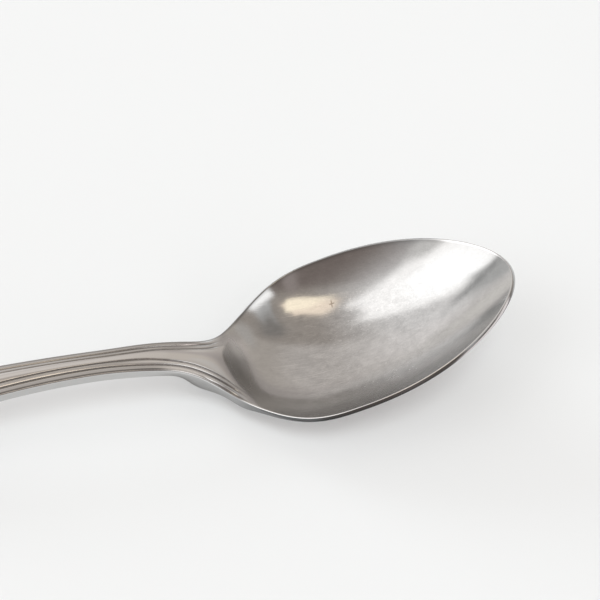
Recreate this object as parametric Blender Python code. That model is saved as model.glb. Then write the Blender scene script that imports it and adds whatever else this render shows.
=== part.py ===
"""Tablespoon, forged in one piece from a single steel blank.

The whole spoon is one loft: closed cross-sections are set up along its length,
from the rounded end of the handle, through the narrow stem and the thick neck,
to the tip of the bowl. The stem carries two threads along each edge and a
raised panel between them. The bowl lies tip-up, as it does on a table, with a
small worn flat where it touches. The frame has +X towards the bowl's tip,
Y across the spoon and +Z up, with the table at z = 0.
"""

import bmesh
import bpy
import numpy as np

# ---------------------------------------------------------------- dimensions
# Lengths in millimetres. Stations along the spoon are measured from the middle
# of the bowl, positive towards the tip.
TIP_X = 32.8              # front edge of the bowl
WIDEST_X = -4.8           # where the bowl is widest
NECK_X = -60.0            # where the bowl's flare starts out of the stem
ROUND_X = -151.0          # where the handle's end starts to round off
END_X = -171.0            # end of the handle

BOWL_HALF_WIDTH = 21.2    # to the upper edge of the rim
TIP_NARROWING = 0.15      # how much the bowl tapers towards the tip
FLARE_POWERS = (3.1, 11.3)  # shape of the shoulders, from bowl to stem
STEM_HALF_WIDTH = 3.03    # at its narrowest
STEM_X = -60.5            # where that is
NECK_HALF_WIDTH = 3.85    # stem's own width as it reaches the shoulders
END_HALF_WIDTH = 10.4     # handle before it rounds off
WIDENING_POWER = 1.72

RIM_HEIGHT = 13.86        # rim above the table at station 0
RIM_SLOPE = 0.305         # tip-up slope of the rim
BOWL_DEPTH = 10.0         # below the rim, measured upright
DEEPEST_X = 0.5
DEPTH_POWER = 2.1
HEEL_X = -34.5            # where the hollow starts

ARCH_HEIGHT = 15.7        # stem's edge above the table at the top of its arch
ARCH_X = -67.5
END_HEIGHT = 2.34         # handle's edge above the table at its end
EDGE_BLEND = (-34.3, 3.5)   # stem edge runs into the bowl's rim: station, length
# The same along the middle, in two steps: station, length, share
MID_BLEND = ((-33.0, 5.5, 0.6), (-29.8, 1.5, 0.4))

RIM_THICKNESS = 1.0
BOWL_THICKNESS = 1.42
STEM_THICKNESS = 2.6      # at the stem's edges
END_THICKNESS = 1.9       # at the handle's end
NECK_THICKENING = 3.4     # extra at the neck
NECK_TUCK = 1.2           # how far the lower edges are drawn in under the neck
PANEL_RISE = 0.80         # raised panel above the stem's edges
UNDER_CROWN = 0.3         # roundness of the handle's underside

THREAD_1 = 1.05           # first groove, from the edge
THREAD_2 = 2.15           # second groove
GROOVE_DEPTH = 0.20
GROOVE_HALF_WIDTH = 0.20
THREAD_FADE = (-33.0, 0.9)  # where the threads run out on the shoulders

STEEL_COLOUR = (0.52, 0.51, 0.49, 1.0)
MM = 0.001


# ------------------------------------------------------------ shape functions
def turn(x, station, length):
    """1 on the handle's side of a station, 0 on the bowl's side."""
    return 1.0 / (1.0 + np.exp(np.clip((x - station) / length, -60, 60)))


def bump(x, station, behind, ahead):
    d = x - station
    return np.exp(-((d / np.where(d < 0, behind, ahead)) ** 2))


def stem_half_width(x):
    along = np.clip((STEM_X - x) / (STEM_X - ROUND_X), 0, None)
    widen = (END_HALF_WIDTH - STEM_HALF_WIDTH) * along**WIDENING_POWER
    flare = 1 - np.exp(-((np.clip(x - STEM_X, 0, None) / 12.5) ** 2))
    return STEM_HALF_WIDTH + widen + (NECK_HALF_WIDTH - STEM_HALF_WIDTH) * flare


def half_width(x):
    """Half-width of the outline at the upper edge."""
    u = np.clip((x - WIDEST_X) / (TIP_X - WIDEST_X), 0, 1)
    front = BOWL_HALF_WIDTH * np.sqrt(1 - u * u) * (1 - TIP_NARROWING * u**3)
    r = np.clip((WIDEST_X - x) / (WIDEST_X - NECK_X), 0, 1)
    stem = stem_half_width(x)
    a, b = FLARE_POWERS
    rear = stem + (BOWL_HALF_WIDTH - stem) * (1 - r**a) ** b
    v = np.clip((ROUND_X - x) / (ROUND_X - END_X), 0, 1)
    return np.where(x > WIDEST_X, front, rear * np.sqrt(1 - v**2.4))


def arch(x):
    """Height of the handle's edges, one slow wave from its end to the neck."""
    x = np.minimum(x, -15.0)
    wave = 0.5 * (1 + np.cos(np.pi * (x - ARCH_X) / (ARCH_X - END_X)))
    return END_HEIGHT + (ARCH_HEIGHT - END_HEIGHT) * wave


def rim(x):
    return RIM_HEIGHT + RIM_SLOPE * x


def edge_height(x):
    k = turn(x, *EDGE_BLEND)
    return k * arch(x) + (1 - k) * rim(x)


def panel_rise(x):
    """Height of the raised panel over the edges: low at the neck and the end."""
    return PANEL_RISE * (0.32 + 0.68 * turn(x, -58.0, 7.0)) * (1 - 0.25 * turn(x, -140.0, 8.0))


def middle_height(x):
    """Height along the middle, where the panel runs down into the hollow."""
    ahead = (x - DEEPEST_X) / (TIP_X - DEEPEST_X)
    behind = (DEEPEST_X - x) / (DEEPEST_X - HEEL_X)
    q = np.minimum(np.where(x > DEEPEST_X, ahead, behind), 1.3)
    hollow = rim(x) - BOWL_DEPTH * (1 - np.maximum(q, 0) ** DEPTH_POWER)
    k = sum(share * turn(x, station, length) for station, length, share in MID_BLEND)
    return k * (arch(x) + panel_rise(x)) + (1 - k) * hollow


def across(x, t):
    """Share of the middle's height at t, from 1 in the middle to 0 at the edges."""
    t = np.abs(t)
    stem = 0.5 + 0.5 * np.cos(np.pi * np.clip(t / 0.86, 0, 1))
    fullness = 2.0 + 0.5 * np.clip(half_width(x) / BOWL_HALF_WIDTH, 0, 1) ** 3
    k = turn(x, -37.0, 2.2)
    return k * stem + (1 - k) * (1 - t**fullness)


def face_height(x, y):
    """The upper face, before the threads are cut."""
    t = y / np.maximum(half_width(x), 1e-4)
    z = edge_height(x)
    return z + (middle_height(x) - z) * across(x, t)


def thickness(x, t):
    k = turn(x, -29.5, 1.5)
    far = np.clip((STEM_X - x) / (STEM_X - END_X), 0, 1)
    stem = STEM_THICKNESS + (END_THICKNESS - STEM_THICKNESS) * far
    edge = RIM_THICKNESS + (stem - RIM_THICKNESS) * k
    edge = edge + NECK_THICKENING * bump(x, -35.5, 5.0, 4.5)
    m = turn(x, -28.5, 2.0)
    middle = BOWL_THICKNESS + (stem - BOWL_THICKNESS) * m
    middle = middle + NECK_THICKENING * bump(x, -35.5, 6.5, 5.5)
    middle = middle + (panel_rise(x) + UNDER_CROWN) * turn(x, -36.0, 3.0)
    room = np.clip(half_width(x) / 2.5, 0, 1)
    return edge + (middle - edge) * room * (1 - np.abs(t) ** 2.4)


def thread_spacing(x):
    """The threads run closer together towards the neck."""
    return 0.97 + 0.13 * turn(x, -78.0, 10.0)


def neck_tuck(x):
    """How far the lower edge is drawn in under the neck."""
    return NECK_TUCK * bump(x, -38.0, 9.0, 5.0)


def groove(d, at):
    return np.exp(-(((d - at) / (0.75 * GROOVE_HALF_WIDTH)) ** 2))


def thread_depth(x, d):
    """How deep the threads cut at a distance d from the outline."""
    d = d / thread_spacing(x)
    cut = groove(d, THREAD_1) + groove(d, THREAD_2)
    runs = turn(x, *THREAD_FADE) * (1 - turn(x, ROUND_X - 4.0, 1.2))
    return GROOVE_DEPTH * cut * runs * thread_spacing(x)


# ------------------------------------------------------------------- sections
def stations():
    """Stations along the spoon, closer together where it curves more."""
    lap = np.linspace(np.pi / 2, 0, 10)
    end = ROUND_X - (ROUND_X - END_X) * np.sin(lap)
    handle = np.linspace(ROUND_X, -52.0, 17)[1:]
    neck = np.linspace(-52.0, -24.0, 25)[1:]
    back = np.linspace(-24.0, WIDEST_X, 9)[1:]
    tip = WIDEST_X + (TIP_X - WIDEST_X) * np.sin(np.linspace(0, np.pi / 2, 16)[1:])
    return np.concatenate([end, handle, neck, back, tip])


def columns(x):
    """Places across the upper face, as shares of the half-width, edge to edge.

    On the stem they follow the threads, on the bowl they are spread evenly.
    """
    w = max(float(half_width(x)), 1e-3)
    g = GROOVE_HALF_WIDTH
    from_edge = [0.0, 0.5 * THREAD_1]
    from_edge += [THREAD_1 - g, THREAD_1, THREAD_1 + g, 0.5 * (THREAD_1 + THREAD_2)]
    from_edge += [THREAD_2 - g, THREAD_2, THREAD_2 + g]
    step = 0.01
    lean = (float(half_width(x + step)) - float(half_width(x - step))) / (2 * step)
    lean = np.hypot(1.0, np.clip(lean, -1.5, 1.5))
    spread = float(thread_spacing(x)) * lean / w
    side = [1 - s * spread for s in from_edge]
    side.append(0.5 * side[-1])
    even = np.linspace(1, 0, len(side) + 1)[:-1]
    k = float(turn(x, -31.5, 1.3) * (1 - turn(x, ROUND_X - 2.0, 1.5)))
    half = k * np.array(side) + (1 - k) * even
    return np.concatenate([half, [0.0], -half[::-1]])


def upward(x, y):
    """Unit normals of the upper face, before the threads."""
    h = 0.02
    ahead, back = np.where(x > TIP_X - 1.5, 0.0, h), np.where(x < END_X + 1.5, 0.0, h)
    dx = (face_height(x + ahead, y) - face_height(x - back, y)) / (ahead + back)
    g = np.minimum(h, 0.02 * half_width(x))
    dy = (face_height(x, y + g) - face_height(x, y - g)) / (2 * g)
    # At the rounded end of the handle the sheet is offset square to its gentle slope.
    gentle = np.where(x < ROUND_X, 0.3, np.inf)
    dx, dy = np.clip(dx, -gentle, gentle), np.clip(dy, -gentle, gentle)
    n = np.stack([-dx, -dy, np.ones_like(dx)], axis=-1)
    return n / np.linalg.norm(n, axis=-1, keepdims=True)


def outline_distance(x, y):
    """Distance from points of the face to the spoon's outline."""
    lap = np.linspace(0, np.pi / 2, 60)
    along = np.concatenate([
        ROUND_X - (ROUND_X - END_X) * np.sin(lap[::-1]),
        np.linspace(ROUND_X, -20.0, 500)[1:],
    ])
    w = half_width(along)
    gap = np.hypot(x[..., None] - along, np.abs(y)[..., None] - w)
    return gap.min(axis=-1)


UPPER_STEPS = 2
LOWER_STEPS = 2
UNDER_COLUMNS = 15


def section(x):
    """One closed cross-section as points in millimetres, all the way round."""
    inner = min(max(x, END_X + 0.02), TIP_X - 0.02)
    w_true = float(half_width(x))
    t = columns(inner)
    y = t * w_true
    xs = np.full_like(t, x)
    probe = np.full_like(t, inner)
    n = upward(probe, t * float(half_width(inner)))
    closed = w_true < 1e-6
    if closed:
        n[:] = n[len(n) // 2]
    z = face_height(probe, t * float(half_width(inner)))
    if closed:
        z[:] = edge_height(x)
    base = np.stack([xs, y, z], axis=-1)
    d = outline_distance(xs, y)
    top = base - n * thread_depth(xs, d)[:, None]

    t2 = np.linspace(-1, 1, UNDER_COLUMNS)
    drawn_in = float(neck_tuck(x))
    y2 = t2 * (float(half_width(inner)) - drawn_in)
    probe2 = np.full_like(t2, inner)
    n2 = upward(probe2, y2)
    if closed:
        n2[:] = n[0]
        y2 = 0 * y2
        y, t2 = 0 * y, np.ones_like(t2)
    z2 = np.full_like(t2, edge_height(x)) if closed else face_height(probe2, y2)
    face = np.stack([np.full_like(t2, x), t2 * max(w_true - drawn_in, 0.0), z2], axis=-1)
    under = face - n2 * thickness(probe2, t2)[:, None]

    # The edge is square to the sheet: a rounded upper corner, a flat, and a lower corner
    # that is crisp on the bowl and well rounded under the neck.
    on_stem = float(turn(x, -30.0, 1.5))
    upper_round = 0.18 + 0.17 * on_stem
    lower_round = 0.06 + 0.18 * on_stem + 2.0 * drawn_in
    rounds = []
    for side, upper, lower, normal in ((-1, base[-1], under[0], n[-1]), (1, base[0], under[-1], n[0])):
        step = 0.01
        lean = (float(half_width(inner + step)) - float(half_width(inner - step))) / (2 * step)
        out = np.array([-lean, side, 0.0])
        if x >= TIP_X - 1e-6 or x <= END_X + 1e-6:
            out = np.array([np.sign(x), 0.0, 0.0])
        out = out - normal * out.dot(normal)
        out = out / np.linalg.norm(out)
        drop, inset = -(lower - upper).dot(normal), -(lower - upper).dot(out)
        reach = 0.30 * min(drop, 1.3)
        rest = lower - upper + drop * normal + inset * out
        path = []
        for a in np.linspace(0, np.pi / 2, UPPER_STEPS + 1)[1:]:
            path.append((-upper_round * (1 - np.cos(a)), reach - upper_round * (1 - np.sin(a))))
        for a in np.linspace(0, np.pi / 2, LOWER_STEPS + 1)[:-1]:
            path.append((lower_round * (1 - np.sin(a)) - drop, reach - (reach + inset) * (1 - np.cos(a))))
        rounds.append(np.array([upper + rise * normal + go * out - rise / drop * rest for rise, go in path]))
    # Round the loop: upper face from +Y to -Y, down the -Y edge, underside back
    # to +Y, and up the +Y edge.
    return np.concatenate([top, rounds[0], under, rounds[1][::-1]])


def loft():
    """Every section, with the underside worn flat where it would pass the table."""
    grid = np.array([section(x) for x in stations()])
    grid[..., 2] = np.maximum(grid[..., 2], 0.0)
    x = grid[..., 0]
    grid[..., 0] = x - 0.5 * (x.min() + x.max())
    return grid


# ----------------------------------------------------------------- the object
def clear_scene():
    for obj in list(bpy.data.objects):
        bpy.data.objects.remove(obj, do_unlink=True)


def steel():
    material = bpy.data.materials.new("worn_steel")
    material.use_nodes = True
    shader = material.node_tree.nodes["Principled BSDF"]
    shader.inputs["Base Color"].default_value = STEEL_COLOUR
    shader.inputs["Metallic"].default_value = 1.0
    shader.inputs["Roughness"].default_value = 0.28
    return material


def build_spoon(collection):
    grid = loft()
    rows, around = grid.shape[:2]
    bm = bmesh.new()
    verts = [[bm.verts.new(p * MM) for p in ring] for ring in grid]
    for i in range(rows - 1):
        for j in range(around):
            k = (j + 1) % around
            bm.faces.new((verts[i][j], verts[i][k], verts[i + 1][k], verts[i + 1][j]))
    # At the tip and at the handle's end the section has closed to a line.
    bmesh.ops.remove_doubles(bm, verts=bm.verts, dist=2e-6)
    bmesh.ops.dissolve_degenerate(bm, dist=1e-7, edges=bm.edges)
    mesh = bpy.data.meshes.new("spoon")
    bm.to_mesh(mesh)
    bm.free()
    mesh.shade_smooth()
    mesh.set_sharp_from_angle(angle=np.radians(40))
    mesh.materials.append(steel())
    spoon = bpy.data.objects.new("spoon", mesh)
    collection.objects.link(spoon)
    return spoon


def main():
    clear_scene()
    collection = bpy.data.collections.new("tablespoon")
    bpy.context.scene.collection.children.link(collection)
    build_spoon(collection)


main()
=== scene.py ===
"""Tablespoon: the finished surface of the spoon, worn satin steel, on a pale floor."""

import bmesh
import bpy
import numpy as np
from mathutils import Matrix, Vector


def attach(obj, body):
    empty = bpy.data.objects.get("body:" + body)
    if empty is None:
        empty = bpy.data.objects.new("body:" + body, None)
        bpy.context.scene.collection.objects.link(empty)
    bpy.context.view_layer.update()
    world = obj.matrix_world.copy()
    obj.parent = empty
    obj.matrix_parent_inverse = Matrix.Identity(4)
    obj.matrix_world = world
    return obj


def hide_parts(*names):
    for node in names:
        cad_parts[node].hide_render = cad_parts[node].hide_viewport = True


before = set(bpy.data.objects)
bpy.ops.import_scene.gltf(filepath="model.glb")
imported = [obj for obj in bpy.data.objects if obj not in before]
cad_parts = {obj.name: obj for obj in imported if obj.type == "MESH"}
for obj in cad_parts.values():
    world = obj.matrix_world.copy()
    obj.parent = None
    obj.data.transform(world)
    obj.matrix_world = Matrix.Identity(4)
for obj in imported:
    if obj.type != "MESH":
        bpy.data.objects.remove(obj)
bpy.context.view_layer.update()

# ---------------------------------------------------------------- dimensions
# Millimetres. Stations along the spoon are measured from the middle of the
# bowl, positive towards the tip; the part's frame is SHIFT_X further on.
SHIFT_X = 68.862
TIP_X = 32.8
WIDEST_X = -4.8
NECK_X = -60.0
ROUND_X = -151.0
END_X = -171.0

BOWL_HALF_WIDTH = 21.2
TIP_NARROWING = 0.15
FLARE_POWERS = (3.1, 11.3)
STEM_HALF_WIDTH = 3.03
STEM_X = -60.5
NECK_HALF_WIDTH = 3.85
END_HALF_WIDTH = 10.4
WIDENING_POWER = 1.72

RIM_HEIGHT = 13.86
RIM_SLOPE = 0.305
BOWL_DEPTH = 10.0
DEEPEST_X = 0.5
DEPTH_POWER = 2.1
HEEL_X = -34.5

ARCH_HEIGHT = 15.7
ARCH_X = -67.5
END_HEIGHT = 2.34
EDGE_BLEND = (-34.3, 3.5)
MID_BLEND = ((-33.0, 5.5, 0.6), (-29.8, 1.5, 0.4))

RIM_THICKNESS = 1.0
BOWL_THICKNESS = 1.42
STEM_THICKNESS = 2.6
END_THICKNESS = 1.9
NECK_THICKENING = 3.4
PANEL_RISE = 0.80
UNDER_CROWN = 0.3

THREAD_1 = 1.25
THREAD_2 = 2.35
GROOVE_DEPTH = 0.20
GROOVE_WIDTH = 0.13
BEAD_CROWN = 0.06
NECK_TUCK = 1.2
THREAD_FADE = (-32.2, 0.6)

MM = 0.001


# ------------------------------------------------------------ shape functions
def turn(x, station, length):
    """1 on the handle's side of a station, 0 on the bowl's side."""
    return 1.0 / (1.0 + np.exp(np.clip((x - station) / length, -60, 60)))


def bump(x, station, behind, ahead):
    d = x - station
    return np.exp(-((d / np.where(d < 0, behind, ahead)) ** 2))


def stem_half_width(x):
    along = np.clip((STEM_X - x) / (STEM_X - ROUND_X), 0, None)
    widen = (END_HALF_WIDTH - STEM_HALF_WIDTH) * along**WIDENING_POWER
    flare = 1 - np.exp(-((np.clip(x - STEM_X, 0, None) / 12.5) ** 2))
    return STEM_HALF_WIDTH + widen + (NECK_HALF_WIDTH - STEM_HALF_WIDTH) * flare


def half_width(x):
    u = np.clip((x - WIDEST_X) / (TIP_X - WIDEST_X), 0, 1)
    front = BOWL_HALF_WIDTH * np.sqrt(1 - u * u) * (1 - TIP_NARROWING * u**3)
    r = np.clip((WIDEST_X - x) / (WIDEST_X - NECK_X), 0, 1)
    stem = stem_half_width(x)
    a, b = FLARE_POWERS
    rear = stem + (BOWL_HALF_WIDTH - stem) * (1 - r**a) ** b
    v = np.clip((ROUND_X - x) / (ROUND_X - END_X), 0, 1)
    return np.where(x > WIDEST_X, front, rear * np.sqrt(1 - v**2.4))


def arch(x):
    x = np.minimum(x, -15.0)
    wave = 0.5 * (1 + np.cos(np.pi * (x - ARCH_X) / (ARCH_X - END_X)))
    return END_HEIGHT + (ARCH_HEIGHT - END_HEIGHT) * wave


def rim(x):
    return RIM_HEIGHT + RIM_SLOPE * x


def edge_height(x):
    k = turn(x, *EDGE_BLEND)
    return k * arch(x) + (1 - k) * rim(x)


def panel_rise(x):
    return PANEL_RISE * (0.32 + 0.68 * turn(x, -58.0, 7.0)) * (1 - 0.25 * turn(x, -140.0, 8.0))


def middle_height(x):
    ahead = (x - DEEPEST_X) / (TIP_X - DEEPEST_X)
    behind = (DEEPEST_X - x) / (DEEPEST_X - HEEL_X)
    q = np.minimum(np.where(x > DEEPEST_X, ahead, behind), 1.3)
    hollow = rim(x) - BOWL_DEPTH * (1 - np.maximum(q, 0) ** DEPTH_POWER)
    k = sum(share * turn(x, station, length) for station, length, share in MID_BLEND)
    return k * (arch(x) + panel_rise(x)) + (1 - k) * hollow


def across(x, t):
    t = np.abs(t)
    stem = 0.5 + 0.5 * np.cos(np.pi * np.clip(t / 0.86, 0, 1))
    fullness = 2.0 + 0.5 * np.clip(half_width(x) / BOWL_HALF_WIDTH, 0, 1) ** 3
    k = turn(x, -37.0, 2.2)
    return k * stem + (1 - k) * (1 - t**fullness)


def face_height(x, y):
    t = y / np.maximum(half_width(x), 1e-4)
    z = edge_height(x)
    return z + (middle_height(x) - z) * across(x, t)


def thickness(x, t):
    k = turn(x, -29.5, 1.5)
    far = np.clip((STEM_X - x) / (STEM_X - END_X), 0, 1)
    stem = STEM_THICKNESS + (END_THICKNESS - STEM_THICKNESS) * far
    edge = RIM_THICKNESS + (stem - RIM_THICKNESS) * k
    edge = edge + NECK_THICKENING * bump(x, -35.5, 5.0, 4.5)
    m = turn(x, -28.5, 2.0)
    middle = BOWL_THICKNESS + (stem - BOWL_THICKNESS) * m
    middle = middle + NECK_THICKENING * bump(x, -35.5, 6.5, 5.5)
    middle = middle + (panel_rise(x) + UNDER_CROWN) * turn(x, -36.0, 3.0)
    room = np.clip(half_width(x) / 2.5, 0, 1)
    return edge + (middle - edge) * room * (1 - np.abs(t) ** 2.4)


def thread_spacing(x):
    """The threads run closer together towards the neck."""
    return 0.97 + 0.13 * turn(x, -78.0, 10.0)


def thread_run(x, y):
    station, length = THREAD_FADE
    return turn(x, station - 0.25 - 1.85 * np.sign(y), length)


def threads(x, y):
    """Distances of the two threads from the outline: pressed closer to the edge on the far side."""
    neck = 1 - turn(x, -44.5, 1.0)
    first = np.where(y > 0, 0.82 + 0.85 * turn(-x, 36.0, 1.0), THREAD_1)
    second = np.where(y > 0, 1.86 + 0.30 * neck + 1.05 * turn(-x, 37.0, 1.5), THREAD_2 + 0.40 * bump(x, -50.0, 6.5, 4.0))
    return first, second


def inner_wear(x, y):
    """The inner thread is rubbed shallow on the near side of the neck."""
    return 1 - 0.45 * (1 - turn(x, -47.0, 3.0)) * (y < 0)


def crease_mask(x, y, d):
    """A fine line along the near edge, cut in and darkened with painted shade, rubbed away where the neck begins."""
    line = np.exp(-(((d - 0.10) / 0.13) ** 2)) * (y < 0)
    return line * (turn(x, -46.0, 0.8) + turn(-x, 38.0, 0.6)) * turn(x, -29.5, 0.5)


def neck_tuck(x):
    """How far the lower edge is drawn in under the neck."""
    return NECK_TUCK * bump(x, -38.0, 9.0, 5.0)


def groove_mask(x, y, d):
    """1 at the bottom of a thread's groove."""
    first, second = threads(x, y)
    d = d / thread_spacing(x)
    cut = np.exp(-(((d - first) / GROOVE_WIDTH) ** 2))
    cut = cut + np.exp(-(((d - second) / GROOVE_WIDTH) ** 2)) * inner_wear(x, y)
    return cut * thread_run(x, y)


def thread_depth(x, y, d):
    """How deep the surface lies under the plain face: grooves, and the beads' round tops."""
    cut = groove_mask(x, y, d) + 0.4 * crease_mask(x, y, d)
    d = d / thread_spacing(x)
    first, second = threads(x, y)
    outer = (d - 0.5 * first) / (0.5 * first)
    inner = (d - 0.5 * (first + second)) / (0.5 * (second - first))
    crown = np.where(d < first, outer**2, np.where(d < second, inner**2, 0.0))
    crown = crown * (1 - np.exp(-((d / 0.12) ** 2)))
    past = np.clip((d - second) / 0.5, 0, 1)
    crown = np.where(d >= second, (1 - past) ** 2, crown)
    neck = 1 - turn(x, -47.0, 3.0)
    near = np.where(d > first, 1 + 2.2 * neck, 1 + 1.2 * neck)
    crown = crown * np.where(d > second, 1 - neck, np.where(y < 0, near, 1.0))
    return thread_spacing(x) * (GROOVE_DEPTH * cut + BEAD_CROWN * crown * thread_run(x, y))


# ------------------------------------------------------------------- sections
TOP_SIDE = 60
UNDER_COLUMNS = 41
UPPER_STEPS = 6
LOWER_STEPS = 6
EDGE_STEPS = UPPER_STEPS + 2 + LOWER_STEPS


def stations():
    lap = np.linspace(np.pi / 2, 0, 100)
    end = ROUND_X - (ROUND_X - END_X) * np.sin(lap)
    handle = np.linspace(ROUND_X, -64.0, 105)[1:]
    neck = np.linspace(-64.0, -22.0, 125)[1:]
    back = np.linspace(-22.0, WIDEST_X, 40)[1:]
    tip = WIDEST_X + (TIP_X - WIDEST_X) * np.sin(np.linspace(0, np.pi / 2, 112)[1:])
    return np.concatenate([end, handle, neck, back, tip])


def columns(x):
    """Places across the upper face: along the threads on the handle, even on the bowl."""
    w = max(float(half_width(x)), 1e-3)
    step = 0.01
    lean = (float(half_width(x + step)) - float(half_width(x - step))) / (2 * step)
    lean = np.hypot(1.0, np.clip(lean, -1.5, 1.5))
    reach = min((THREAD_2 + 0.95) * float(thread_spacing(x)) * lean / w, 0.93)
    near = np.linspace(0, reach, 36)
    inner = reach + (1 - reach) * np.linspace(0, 1, TOP_SIDE - 36 + 1)[1:]
    side = 1 - np.concatenate([near, inner])
    even = np.linspace(1, 0, TOP_SIDE + 1)[:-1]
    k = float(turn(x, -31.0, 1.6) * (1 - turn(x, ROUND_X - 2.0, 1.5)))
    half = k * side + (1 - k) * even
    return np.concatenate([half, [0.0], -half[::-1]])


def upward(x, y):
    h = 0.02
    ahead, back = np.where(x > TIP_X - 1.5, 0.0, h), np.where(x < END_X + 1.5, 0.0, h)
    dx = (face_height(x + ahead, y) - face_height(x - back, y)) / (ahead + back)
    g = np.minimum(h, 0.02 * half_width(x))
    dy = (face_height(x, y + g) - face_height(x, y - g)) / (2 * g)
    # At the rounded end of the handle the sheet is offset square to its gentle slope.
    gentle = np.where(x < ROUND_X, 0.3, np.inf)
    dx, dy = np.clip(dx, -gentle, gentle), np.clip(dy, -gentle, gentle)
    n = np.stack([-dx, -dy, np.ones_like(dx)], axis=-1)
    return n / np.linalg.norm(n, axis=-1, keepdims=True)


LAP = np.linspace(0, np.pi / 2, 240)
ALONG = np.concatenate([
    ROUND_X - (ROUND_X - END_X) * np.sin(LAP[::-1]),
    np.linspace(ROUND_X, -18.0, 1400)[1:],
])
OUTLINE = half_width(ALONG)


def outline_distance(x, y):
    """Distance from points of the face to the handle's outline."""
    gap = np.hypot(x[..., None] - ALONG, np.abs(y)[..., None] - OUTLINE)
    return gap.min(axis=-1)


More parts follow.
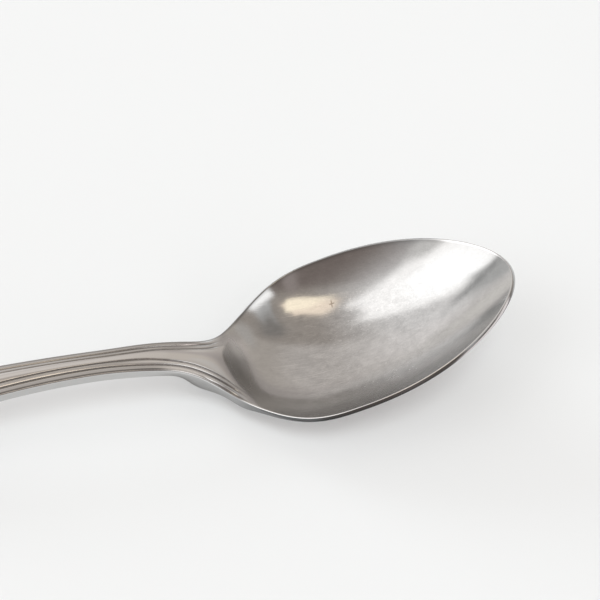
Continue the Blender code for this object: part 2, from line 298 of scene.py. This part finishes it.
def section(x):
    """One closed cross-section and, for each of its points, the groove, edge and face masks."""
    inner = min(max(x, END_X + 0.02), TIP_X - 0.02)
    w_true = float(half_width(x))
    closed = w_true < 1e-6
    t = columns(inner)
    probe = np.full_like(t, inner)
    y_in = t * float(half_width(inner))
    n = upward(probe, y_in)
    z = face_height(probe, y_in)
    if closed:
        n[:] = n[len(n) // 2]
        z[:] = edge_height(x)
    xs = np.full_like(t, x)
    base = np.stack([xs, t * w_true, z], axis=-1)
    d = outline_distance(xs, t * w_true)
    top = base - n * thread_depth(xs, base[:, 1], d)[:, None]
    # Painted shade in the thread grooves: the darkened lines spread wider on the far side towards the neck.
    groove_shade = groove_mask(xs, base[:, 1], d)
    on_neck = 1 - turn(xs, -44.0, 2.0)
    for aside, deep in ((-0.12, 0.85), (0.12, 0.85), (0.24, 0.85), (0.38, 0.75 * on_neck), (0.54, 0.55 * on_neck), (0.70, 0.3 * on_neck)):
        deep = deep * (1 - 0.3 * turn(xs, -66.0, 3.0)) * (t > 0)
        groove_shade = np.maximum(groove_shade, deep * groove_mask(xs, base[:, 1], d - aside))
    # Painted shade around the near grooves before the neck.
    soft = bump(xs, -54.0, 5.0, 7.0) * (t < 0) * (d > 1.8)
    for aside, deep in ((0.12, 0.5), (-0.14, 0.8), (-0.28, 0.7), (-0.42, 0.45)):
        groove_shade = np.maximum(groove_shade, deep * soft * groove_mask(xs, base[:, 1], d - aside))
    top_groove = np.minimum(groove_shade, 1.0)

    t2 = np.linspace(-1, 1, UNDER_COLUMNS)
    probe2 = np.full_like(t2, inner)
    drawn_in = float(neck_tuck(x))
    y2 = t2 * (float(half_width(inner)) - drawn_in)
    n2 = upward(probe2, y2)
    z2 = face_height(probe2, y2)
    t_thick = t2
    if closed:
        n2[:] = n[0]
        z2[:] = edge_height(x)
        t_thick = np.ones_like(t2)
    face = np.stack([np.full_like(t2, x), t2 * max(w_true - drawn_in, 0.0), z2], axis=-1)
    under = face - n2 * thickness(probe2, t_thick)[:, None]

    # The edge is square to the sheet: a rounded upper corner, a flat, and a lower corner
    # that is crisp on the bowl and well rounded under the neck.
    on_stem = float(turn(x, -30.0, 1.5))
    upper_round = 0.18 + 0.17 * on_stem
    lower_round = 0.06 + 0.18 * on_stem + 2.0 * drawn_in
    rounds = []
    for side, upper, lower, normal in ((-1, base[-1], under[0], n[-1]), (1, base[0], under[-1], n[0])):
        step = 0.01
        lean = (float(half_width(inner + step)) - float(half_width(inner - step))) / (2 * step)
        out = np.array([-lean, side, 0.0])
        if x >= TIP_X - 1e-6 or x <= END_X + 1e-6:
            out = np.array([np.sign(x), 0.0, 0.0])
        out = out - normal * out.dot(normal)
        out = out / np.linalg.norm(out)
        drop, inset = -(lower - upper).dot(normal), -(lower - upper).dot(out)
        reach = 0.29 * min(drop, 1.3)
        rest = lower - upper + drop * normal + inset * out
        path = []
        for a in np.linspace(0, np.pi / 2, UPPER_STEPS + 1)[1:]:
            path.append((-upper_round * (1 - np.cos(a)), reach - upper_round * (1 - np.sin(a))))
        path.append((-upper_round - 0.16, reach))
        path.append((-upper_round - 0.30, reach))
        for a in np.linspace(0, np.pi / 2, LOWER_STEPS + 1)[:-1]:
            path.append((lower_round * (1 - np.sin(a)) - drop, reach - (reach + inset) * (1 - np.cos(a))))
        rounds.append(np.array([upper + rise * normal + go * out - rise / drop * rest for rise, go in path]))
    points = np.concatenate([top, rounds[0], under, rounds[1][::-1]])
    groove = np.concatenate([top_groove, np.zeros(len(points) - len(top))])
    # The near edge carries a painted highlight along its upper corner, where it is rubbed bright, and so does the far
    # edge towards the tip; painted shade darkens the far edge and the lip under it.
    near = (1 - on_stem) * turn(base[:, 1], -7.0, 1.5)
    ahead = float(turn(-x, -20.5, 1.2))
    bright = 0.9 * ahead * float(turn(x, 31.2, 0.3))
    far = on_stem * (t > 0) + (1 - on_stem) * turn(-base[:, 1], -2.0, 1.5) * (1 - 0.9 * ahead)
    inward = (1 - np.abs(t)) * w_true
    corner = np.concatenate([np.ones(UPPER_STEPS - 1), np.zeros(LOWER_STEPS + 3)])
    lip = (1 - on_stem) * np.concatenate([np.zeros(UPPER_STEPS - 1), np.ones(LOWER_STEPS + 3)])
    near_lip, far_lip = lip * (1 - 0.7 * float(turn(-x, -31.0, 0.3))), lip * (1 - 0.85 * ahead)
    line = crease_mask(xs, base[:, 1], d)
    # Painted shade on the lower edge under the neck, and along the side of the handle.
    shade = np.sqrt(drawn_in / NECK_TUCK) * np.concatenate([np.zeros(UPPER_STEPS + 1), [0.35], np.linspace(0.55, 1.1, LOWER_STEPS)])
    shade = np.maximum(shade, 0.22 * float(turn(x, -46.0, 2.0)) * np.concatenate([np.zeros(UPPER_STEPS), np.ones(LOWER_STEPS + 2)]))
    none = np.zeros(UNDER_COLUMNS)
    # The near edge of the neck also gets the painted highlight.
    rubbed = float(turn(-x, 45.0, 0.8) * turn(x, -33.0, 1.0))
    worn = near + bright * (t > 0) + rubbed * (t < 0)
    edge = np.concatenate([np.exp(-((inward / 0.15) ** 2)) * worn, corner * worn[-1], none, np.full(EDGE_STEPS, bright)])
    flat = np.concatenate([0.6 * np.exp(-((inward / 0.30) ** 2)) * far, near_lip, none, np.maximum(far_lip, 0.6 * far[0])[::-1]])
    upper_face = np.concatenate([np.ones(len(top)), np.full(EDGE_STEPS, 0.5), none, np.full(EDGE_STEPS, 0.5)])
    corner_line = np.concatenate([[0.9, 0.5], np.zeros(EDGE_STEPS - 2)]) * line[-1]
    crease = np.concatenate([line, corner_line, none, 0 * corner_line])
    under_neck = np.concatenate([np.zeros(len(top)), shade, none, shade[::-1]])
    # Near the near edge the inner bead is rubbed and carries a painted highlight, and the outer bead along the handle
    # is darker; and the panel between the threads.
    first, second = threads(xs, base[:, 1])
    s = d / thread_spacing(xs)
    on_near = (t < 0) * on_stem
    inner_bead = np.exp(-(((s - 0.5 * (first + second)) / (0.27 * (second - first))) ** 2)) * on_near
    outer_bead = np.exp(-(((s - 0.66) / 0.32) ** 2)) * on_near
    bead = inner_bead * (0.40 + 0.60 * turn(-xs, 47.0, 1.2)) * turn(xs, -35.5, 1.2)
    rubbed = np.exp(-(((s - 0.52) / 0.36) ** 2)) * on_near
    bead = bead + rubbed * turn(-xs, 46.0, 1.2) * turn(xs, -35.0, 2.5)
    band = outer_bead * turn(xs, -47.0, 1.5)
    panel = (1 - turn(s, second + 0.22, 0.08)) * on_stem
    cool = np.exp(-(((s - 0.5) / 0.7) ** 2)) * (t < 0) * bump(xs, -31.5, 2.5, 2.2)
    rest = np.zeros(len(points) - len(top))
    bead, band, panel, cool = (np.concatenate([m, rest]) for m in (bead, band, panel, cool))
    return points, groove, edge, upper_face, flat, crease, under_neck, bead, band, panel, cool


def build_spoon():
    rows = [section(x) for x in stations()]
    grid = np.array([r[0] for r in rows])
    names = ("groove", "edge", "upper", "flat", "crease", "under_neck", "bead", "band", "panel", "cool")
    masks = {name: np.array([r[i + 1] for r in rows]) for i, name in enumerate(names)}
    grid[..., 2] = np.maximum(grid[..., 2], 0.0)
    # How worn the hollow is: most at the bottom, towards the near side of the heel.
    x, y = grid[..., 0], grid[..., 1]
    hollow = np.clip((rim(x) - grid[..., 2]) / BOWL_DEPTH, 0, 1) * (1 - turn(x, -31.0, 2.0))
    masks["hollow"] = hollow * (masks["upper"] > 0.9)
    # Darker in the corner of the heel, and the handle's brighter polish.
    across_heel = x + 30.2 + 0.35 * np.minimum(y, 0.0)
    masks["heel"] = bump(across_heel, 0.0, 3.9, 2.9) * turn(y, 1.5, 1.2) * turn(-y, 7.0, 1.8) * (masks["upper"] > 0.9)
    masks["shoulder"] = bump(x, -29.0, 1.5, 2.4) * turn(-y, -3.0, 0.6) * turn(y, 7.2, 0.6) * (masks["upper"] > 0.9)
    # The near wall and the heel are a little duller than the rest of the hollow.
    wall = turn(y, -7.5, 1.6) * turn(-x, 31.0, 1.0)
    corner = np.exp(-(((x + 27.5) / 3.2) ** 2)) * turn(y, 3.0, 1.0)
    masks["dull"] = np.maximum(wall, corner) * (masks["upper"] > 0.9)
    masks["matt"] = bump(x, -29.5, 2.6, 3.0) * turn(y, 9.5, 1.0) * turn(-y, 6.0, 2.0) * (masks["upper"] > 0.9)
    masks["stem"] = turn(x, -35.0, 2.0)
    grid[..., 0] += SHIFT_X
    count, around = grid.shape[:2]
    bm = bmesh.new()
    layers = {name: bm.verts.layers.float.new(name) for name in masks}
    verts = []
    for i in range(count):
        ring = []
        for j in range(around):
            v = bm.verts.new(grid[i, j] * MM)
            for name, layer in layers.items():
                v[layer] = float(masks[name][i, j])
            ring.append(v)
        verts.append(ring)
    for i in range(count - 1):
        for j in range(around):
            k = (j + 1) % around
            bm.faces.new((verts[i][j], verts[i][k], verts[i + 1][k], verts[i + 1][j]))
    bmesh.ops.remove_doubles(bm, verts=bm.verts, dist=2e-6)
    bmesh.ops.dissolve_degenerate(bm, dist=1e-7, edges=bm.edges)
    mesh = bpy.data.meshes.new("spoon_surface")
    bm.to_mesh(mesh)
    bm.free()
    mesh.shade_smooth()
    obj = bpy.data.objects.new("spoon_surface", mesh)
    bpy.context.scene.collection.objects.link(obj)
    return obj


# ------------------------------------------------------------------ materials
class Tree:
    """Short hands for building a node tree."""

    def __init__(self, tree):
        self.tree = tree

    def put(self, kind, **settings):
        node = self.tree.nodes.new(kind)
        for key, value in settings.items():
            setattr(node, key, value)
        return node

    def feed(self, socket, value):
        if hasattr(value, "links"):
            self.tree.links.new(value, socket)
        else:
            socket.default_value = value

    def math(self, operation, a, b=None, c=None, clamp=False):
        node = self.put("ShaderNodeMath", operation=operation, use_clamp=clamp)
        for socket, value in zip(node.inputs, (a, b, c)):
            if value is not None:
                self.feed(socket, value)
        return node.outputs[0]

    def vmath(self, operation, a, b=None):
        node = self.put("ShaderNodeVectorMath", operation=operation)
        self.feed(node.inputs[0], a)
        if b is not None:
            self.feed(node.inputs[1], b)
        return node.outputs["Value"] if operation in ("DOT_PRODUCT", "LENGTH", "DISTANCE") else node.outputs[0]

    def ramp(self, value, low, high, to_low=0.0, to_high=1.0, smooth=True):
        node = self.put("ShaderNodeMapRange", clamp=True)
        node.interpolation_type = "SMOOTHSTEP" if smooth else "LINEAR"
        for socket, v in zip(node.inputs, (value, low, high, to_low, to_high)):
            self.feed(socket, v)
        return node.outputs[0]

    def mix(self, factor, a, b, blend="MIX"):
        node = self.put("ShaderNodeMix", data_type="RGBA", blend_type=blend)
        self.feed(node.inputs[0], factor)
        self.feed(node.inputs[6], a)
        self.feed(node.inputs[7], b)
        return node.outputs[2]

    def noise(self, vector, scale, detail=2.0, rough=0.5, distort=0.0):
        node = self.put("ShaderNodeTexNoise", noise_dimensions="3D", normalize=True)
        self.feed(node.inputs["Vector"], vector)
        self.feed(node.inputs["Scale"], scale)
        self.feed(node.inputs["Detail"], detail)
        self.feed(node.inputs["Roughness"], rough)
        self.feed(node.inputs["Distortion"], distort)
        return node.outputs[0]

    def mapping(self, vector, scale=(1, 1, 1), turn_z=0.0, move=(0, 0, 0)):
        node = self.put("ShaderNodeMapping")
        self.feed(node.inputs["Vector"], vector)
        node.inputs["Location"].default_value = move
        node.inputs["Rotation"].default_value = (0, 0, np.radians(turn_z))
        node.inputs["Scale"].default_value = scale
        return node.outputs[0]

    def attribute(self, name):
        return self.put("ShaderNodeAttribute", attribute_name=name).outputs["Fac"]


def steel_material():
    material = bpy.data.materials.new("worn_steel")
    material.use_nodes = True
    n = Tree(material.node_tree)
    shader = material.node_tree.nodes["Principled BSDF"]
    place = n.put("ShaderNodeTexCoord").outputs["Object"]
    groove, edge, hollow = n.attribute("groove"), n.attribute("edge"), n.attribute("hollow")
    heel, stem, flat = n.attribute("heel"), n.attribute("stem"), n.attribute("flat")
    shoulder, matt, bead = n.attribute("shoulder"), n.attribute("matt"), n.attribute("bead")
    band, panel = n.attribute("band"), n.attribute("panel")
    crease, under_neck, dull = n.attribute("crease"), n.attribute("under_neck"), n.attribute("dull")

    # Fine polishing lines along the spoon.
    fine = n.noise(n.mapping(place, (70, 2600, 2600)), 1.0, 3.0, 0.65)
    # Scratches from use: sparse thin strokes in several directions, most of them nearly lengthwise.
    streaks = None
    for angle, scale, low, high in (
        (7.0, (70, 3000, 3000), 0.64, 0.76),
        (-14.0, (110, 3400, 3400), 0.65, 0.77),
        (33.0, (150, 3800, 3800), 0.66, 0.78),
        (81.0, (110, 3600, 3600), 0.66, 0.78),
        (-52.0, (170, 3800, 3800), 0.67, 0.79),
    ):
        field = n.noise(n.mapping(place, scale, angle, (0.31, 0.77 + angle, 0.13)), 1.0, 1.0, 0.5)
        streak = n.ramp(field, low, high)
        streaks = streak if streaks is None else n.math("MAXIMUM", streaks, streak)
    patches = n.noise(place, 120.0, 3.0, 0.55)
    mottle = n.noise(place, 360.0, 3.0, 0.55, 0.4)
    clouds = n.noise(n.mapping(place, (330, 1000, 1000), 24.0), 1.0, 2.0, 0.55, 0.5)
    grain = n.noise(place, 2400.0, 2.0, 0.6)

    # The bottom of the hollow is rubbed dull, the walls keep their polish.
    blotch = n.math("MULTIPLY", n.math("SUBTRACT", patches, 0.5), 0.35)
    worn = n.ramp(n.math("ADD", hollow, blotch), 0.40, 0.95)
    marks = n.math("MULTIPLY", streaks, n.math("ADD", n.math("MULTIPLY", worn, 0.75), 0.25))

    tone = n.math("ADD", n.math("MULTIPLY", fine, 0.16), n.math("MULTIPLY", mottle, 0.42))
    tone = n.math("ADD", tone, n.math("MULTIPLY", patches, 0.18))
    tone = n.math("ADD", tone, n.math("MULTIPLY", grain, 0.24))
    tone = n.math("ADD", tone, n.math("MULTIPLY", n.math("SUBTRACT", clouds, 0.5), 0.32))
    contrast = n.math("ADD", n.math("MULTIPLY", worn, 0.60), 0.45)
    tone = n.math("ADD", n.math("MULTIPLY", n.math("SUBTRACT", tone, 0.5), contrast), 0.5)
    base = n.mix(n.ramp(tone, 0.30, 0.70, smooth=False), (0.420, 0.420, 0.417, 1), (0.612, 0.612, 0.608, 1))
    base = n.mix(n.math("MULTIPLY", dull, 0.17), base, (0.76, 0.755, 0.75, 1))
    base = n.mix(n.math("MULTIPLY", stem, 0.60), base, (0.67, 0.662, 0.655, 1))
    base = n.mix(n.math("MULTIPLY", panel, 0.45), base, (0.90, 0.89, 0.88, 1))
    base = n.mix(n.math("MULTIPLY", band, 0.60), base, (0.42, 0.412, 0.405, 1))
    # Painted highlight along the rubbed inner bead.
    base = n.mix(n.math("MULTIPLY", bead, 0.80), base, (0.97, 0.965, 0.96, 1))
    base = n.mix(n.math("MULTIPLY", shoulder, 0.95), base, (0.93, 0.925, 0.92, 1))
    base = n.mix(n.math("MULTIPLY", heel, 0.95), base, (0.30, 0.292, 0.286, 1))
    base = n.mix(n.math("MULTIPLY", n.attribute("cool"), 0.80), base, (0.535, 0.56, 0.60, 1))
    base = n.mix(n.math("MULTIPLY", marks, 0.45), base, (0.72, 0.715, 0.71, 1))
    # Painted shade in the thread grooves.
    base = n.mix(n.math("MULTIPLY", groove, 0.85, clamp=True), base, (0.17, 0.155, 0.14, 1))
    # Painted highlight on the rubbed edges and along the far edge towards the tip.
    base = n.mix(n.math("MULTIPLY", edge, 0.80), base, (0.88, 0.88, 0.88, 1))
    # Painted shade on the far edge and on the lip under the rim.
    base = n.mix(n.math("MULTIPLY", flat, 0.85), base, (0.16, 0.163, 0.166, 1))
    # Painted shade in the crease along the near edge.
    base = n.mix(n.math("MULTIPLY", crease, 0.95, clamp=True), base, (0.12, 0.11, 0.105, 1))
    # Painted shade under the neck's edge.
    base = n.mix(n.math("MULTIPLY", under_neck, 0.85, clamp=True), base, (0.185, 0.178, 0.172, 1))
    # A tiny crossed nick on the far wall.
    apart = n.put("ShaderNodeSeparateXYZ")
    n.feed(apart.inputs[0], n.vmath("ABSOLUTE", n.vmath("SUBTRACT", place, (0.06416, 0.0132, 0.0))))
    long = n.math("MULTIPLY", n.ramp(apart.outputs["X"], 0.00006, 0.00020, 1.0, 0.0), n.ramp(apart.outputs["Y"], 0.0004, 0.0010, 1.0, 0.0))
    wide = n.math("MULTIPLY", n.ramp(apart.outputs["Y"], 0.00006, 0.00022, 1.0, 0.0), n.ramp(apart.outputs["X"], 0.0003, 0.0008, 1.0, 0.0))
    nick = n.math("MULTIPLY", n.math("MAXIMUM", long, wide), n.ramp(n.attribute("upper"), 0.6, 0.9))
    base = n.mix(n.math("MULTIPLY", nick, 0.75), base, (0.20, 0.18, 0.16, 1))
    n.feed(shader.inputs["Base Color"], base)
    shader.inputs["Metallic"].default_value = 1.0
    # The edge tint under the neck is darkened too: painted shade.
    n.feed(shader.inputs["Specular Tint"], n.mix(n.math("MULTIPLY", under_neck, 0.9, clamp=True), (1, 1, 1, 1), (0.30, 0.285, 0.27, 1)))

    rough = n.ramp(mottle, 0.25, 0.75, 0.08, 0.12)
    rough = n.math("ADD", rough, n.math("MULTIPLY", worn, 0.05))
    rough = n.math("ADD", rough, n.math("MULTIPLY", dull, 0.10))
    rough = n.math("ADD", rough, n.math("MULTIPLY", matt, 0.20))
    rough = n.math("ADD", rough, n.math("MULTIPLY", bead, 0.22))
    rough = n.math("ADD", rough, n.math("MULTIPLY", marks, 0.06))
    rough = n.math("ADD", rough, n.math("MULTIPLY", groove, 0.20))
    rough = n.math("SUBTRACT", rough, n.math("MULTIPLY", edge, 0.04))
    n.feed(shader.inputs["Roughness"], rough)

    height = n.math("ADD", n.math("MULTIPLY", mottle, 0.75), n.math("MULTIPLY", clouds, 0.15))
    height = n.math("MULTIPLY", height, n.math("ADD", n.math("MULTIPLY", worn, 0.55), 0.45))
    height = n.math("ADD", height, n.math("MULTIPLY", fine, 0.5))
    height = n.math("ADD", height, n.math("MULTIPLY", grain, 0.12))
    height = n.math("SUBTRACT", height, n.math("MULTIPLY", marks, 0.4))
    relief = n.put("ShaderNodeBump")
    relief.inputs["Strength"].default_value = 0.22
    relief.inputs["Distance"].default_value = 0.00003
    n.feed(relief.inputs["Height"], height)
    n.feed(shader.inputs["Normal"], relief.outputs[0])
    return material


def floor_material():
    material = bpy.data.materials.new("pale_floor")
    material.use_nodes = True
    n = Tree(material.node_tree)
    shader = material.node_tree.nodes["Principled BSDF"]
    place = n.put("ShaderNodeTexCoord").outputs["Object"]
    soft = n.noise(place, 9.0, 2.0, 0.5)
    n.feed(shader.inputs["Base Color"], n.mix(n.ramp(soft, 0.3, 0.7), (0.587, 0.612, 0.627, 1), (0.592, 0.617, 0.632, 1)))
    shader.inputs["Roughness"].default_value = 0.9
    shader.inputs["Emission Color"].default_value = (1.0, 0.965, 0.95, 1)
    shader.inputs["Emission Strength"].default_value = 0.214
    shader.inputs["Specular IOR Level"].default_value = 0.1
    return material


# ---------------------------------------------------------------------- light
def studio():
    """A soft studio all round, made of broad panels in the sky."""
    world = bpy.data.worlds.new("studio")
    bpy.context.scene.world = world
    world.use_nodes = True
    tree = world.node_tree
    tree.nodes.clear()
    n = Tree(tree)
    d = n.put("ShaderNodeTexCoord").outputs["Generated"]

    split = n.put("ShaderNodeSeparateXYZ")
    n.feed(split.inputs[0], d)
    z = split.outputs["Z"]
    height = n.math("ARCSINE", z)

    def patch(light, azimuth, elevation, half_az, half_el, soft_az, soft_el, lean, colour):
        """A soft-edged panel about a bearing and a height, leaning sideways, in degrees."""
        a = np.radians(azimuth)
        ahead = n.vmath("DOT_PRODUCT", d, (np.cos(a), np.sin(a), 0.0))
        aside = n.vmath("DOT_PRODUCT", d, (-np.sin(a), np.cos(a), 0.0))
        rise = n.math("SUBTRACT", height, np.radians(elevation))
        bearing = n.math("SUBTRACT", n.math("ARCTAN2", aside, ahead), n.math("MULTIPLY", rise, lean))
        bearing, rise = n.math("ABSOLUTE", bearing), n.math("ABSOLUTE", rise)
        mask = n.ramp(bearing, np.radians(half_az - soft_az), np.radians(half_az + soft_az), 1.0, 0.0)
        mask = n.math("MULTIPLY", mask, n.ramp(rise, np.radians(half_el - soft_el), np.radians(half_el + soft_el), 1.0, 0.0))
        return n.mix(mask, light, colour)

    # A dim ceiling, and lighter walls behind, brighter towards the left
    x = split.outputs["X"]
    wall = n.mix(n.ramp(x, -0.640, -0.090), (1.240, 1.194, 1.176, 1), (0.750, 0.698, 0.657, 1))
    wall = n.mix(n.ramp(x, 0.039, 0.439), wall, (0.634, 0.580, 0.527, 1))
    ceiling = n.mix(n.ramp(x, -0.607, -0.120), (1.100, 1.076, 1.065, 1), (0.500, 0.449, 0.406, 1))
    behind = n.ramp(n.vmath("DOT_PRODUCT", d, (0.439, 0.899, 0.0)), 0.265, 0.350)
    light = n.mix(behind, ceiling, wall)
    # Dark upper panels in front, and a dim low one
    light = patch(light, 261.5, 34.1, 38.2, 15.3, 31.6, 5.0, 0.90, (0.285, 0.238, 0.218, 1))
    light = patch(light, 271.0, 39.4, 7.5, 12.6, 5.0, 4.6, 0.0, (0.45, 0.39, 0.37, 1))
    light = patch(light, 268.0, 2.0, 60.0, 21.0, 12.0, 5.0, 0.0, (0.22, 0.215, 0.21, 1))
    # Low walls on the left, behind and on the right, and the upper right
    light = patch(light, 196.7, 16.3, 35.0, 9.6, 8.2, 4.8, -0.29, (0.595, 0.595, 0.595, 1))
    light = patch(light, 112.6, 10.1, 32.7, 12.7, 47.1, 5.8, 0.24, (0.83, 0.795, 0.765, 1))
    light = patch(light, 125.5, 9.5, 7.0, 6.0, 5.0, 4.0, 0.0, (1.0, 0.965, 0.92, 1))
    light = patch(light, 112.0, -3.0, 25.0, 4.0, 10.0, 2.0, 0.0, (0.56, 0.54, 0.525, 1))
    light = patch(light, 327.0, 59.5, 13.2, 11.8, 4.5, 6.4, 1.20, (0.766, 0.764, 0.758, 1))
    light = patch(light, 346.5, 67.9, 22.8, 10.8, 14.2, 7.3, 1.10, (0.345, 0.322, 0.303, 1))
    light = patch(light, 13.7, 18.0, 71.0, 11.5, 22.5, 9.5, 1.13, (0.530, 0.484, 0.457, 1))
    light = patch(light, 5.0, 43.0, 14.0, 8.0, 8.0, 5.0, 0.0, (0.65, 0.615, 0.58, 1))
    light = patch(light, 326.0, 13.0, 24.0, 12.0, 6.0, 4.0, 0.0, (3.15, 2.90, 2.86, 1))
    # Large pale panel on the left, brightest in its middle, and dark strips beside it
    light = patch(light, 183.9, 44.2, 30.9, 21.2, 6.0, 3.0, 0.0, (1.80, 1.77, 1.75, 1))
    light = patch(light, 214.0, 26.5, 6.0, 6.0, 3.5, 4.0, 0.0, (0.95, 0.93, 0.91, 1))
    light = patch(light, 181.8, 36.0, 19.1, 8.7, 7.2, 8.8, -0.05, (2.123, 2.123, 2.123, 1))
    light = patch(light, 153.0, 22.8, 11.0, 8.0, 5.0, 2.5, 0.20, (0.70, 0.70, 0.69, 1))
    light = patch(light, 159.0, 26.2, 7.0, 4.2, 4.0, 1.5, -3.80, (0.50, 0.50, 0.495, 1))
    # Warm panels in front, high, and a small pale panel on the right
    light = patch(light, 255.7, 66.9, 32.5, 7.4, 5.0, 2.0, -1.09, (1.60, 1.36, 1.12, 1))
    light = patch(light, 266.5, 62.8, 23.2, 5.7, 4.5, 1.8, 1.17, (1.82, 1.61, 1.28, 1))
    light = patch(light, 315.5, 42.4, 16.2, 7.6, 3.8, 1.4, -0.55, (1.78, 1.765, 1.755, 1))

    seen = n.put("ShaderNodeLightPath").outputs["Is Camera Ray"]
    light = n.mix(seen, light, (0.930, 0.935, 0.930, 1))
    background = n.put("ShaderNodeBackground")
    n.feed(background.inputs["Color"], light)
    background.inputs["Strength"].default_value = 1.0
    out = n.put("ShaderNodeOutputWorld")
    tree.links.new(background.outputs[0], out.inputs["Surface"])


def soft_lamp(name, azimuth, elevation, strength):
    """A soft lamp for the floor that the metal doesn't mirror."""
    data = bpy.data.lights.new(name, "SUN")
    data.energy = strength
    data.angle = np.radians(24.0)
    data.color = (0.95, 1.0, 1.02)
    a, e = np.radians(azimuth), np.radians(elevation)
    towards = Vector((np.cos(a) * np.cos(e), np.sin(a) * np.cos(e), np.sin(e)))
    obj = bpy.data.objects.new(name, data)
    obj.rotation_euler = towards.to_track_quat("Z", "Y").to_euler()
    obj.location = towards
    obj.visible_glossy = False
    bpy.context.scene.collection.objects.link(obj)


# --------------------------------------------------------------------- camera
def camera():
    """A long lens from the front, 51 degrees above the floor."""
    a, e = np.radians(-12.0), np.radians(51.0)
    back = np.array([np.sin(a) * np.cos(e), -np.cos(a) * np.cos(e), np.sin(e)])
    right = np.array([np.cos(a), np.sin(a), 0.0])
    up = np.cross(back, right)
    focal = 1840.0
    ray = -back + (65.0 / focal) * right - (30.0 / focal) * up
    ray = ray / np.linalg.norm(ray)
    place = (np.array([SHIFT_X, 0.0, 10.98]) - 416.0 * ray) * MM
    data = bpy.data.cameras.new("camera")
    data.sensor_fit = "HORIZONTAL"
    data.sensor_width = 36.0
    data.lens = 36.0 * focal / 600.0
    data.clip_start = 0.01
    data.clip_end = 50.0
    obj = bpy.data.objects.new("camera", data)
    matrix = Matrix.Identity(4)
    for i, axis in enumerate((right, up, back)):
        for j in range(3):
            matrix[j][i] = axis[j]
    matrix.translation = Vector(place)
    obj.matrix_world = matrix
    bpy.context.scene.collection.objects.link(obj)
    bpy.context.scene.camera = obj


def floor():
    """A wide pale floor; only its middle strip is mirrored in the metal."""
    material = floor_material()
    for name, front, back in (("floor", -0.1, 0.25), ("floor_front", -3.1, -0.1), ("floor_back", 0.25, 5.9)):
        bm = bmesh.new()
        bm.faces.new([bm.verts.new(corner) for corner in ((-3, front, 0), (3, front, 0), (3, back, 0), (-3, back, 0))])
        mesh = bpy.data.meshes.new(name)
        bm.to_mesh(mesh)
        bm.free()
        mesh.materials.append(material)
        obj = bpy.data.objects.new(name, mesh)
        obj.location = (0.0, 0.0, -0.00002)
        obj.visible_glossy = name == "floor"
        bpy.context.scene.collection.objects.link(obj)


camera()
spoon = build_spoon()
spoon.data.materials.append(steel_material())
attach(spoon, "root")
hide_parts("spoon")
floor()
studio()
soft_lamp("high_lamp", 297.0, 71.0, 0.83)
soft_lamp("low_lamp", 120.0, 20.0, 0.88)

view = bpy.context.scene.view_settings
view.view_transform = "Standard"
view.look = "None"
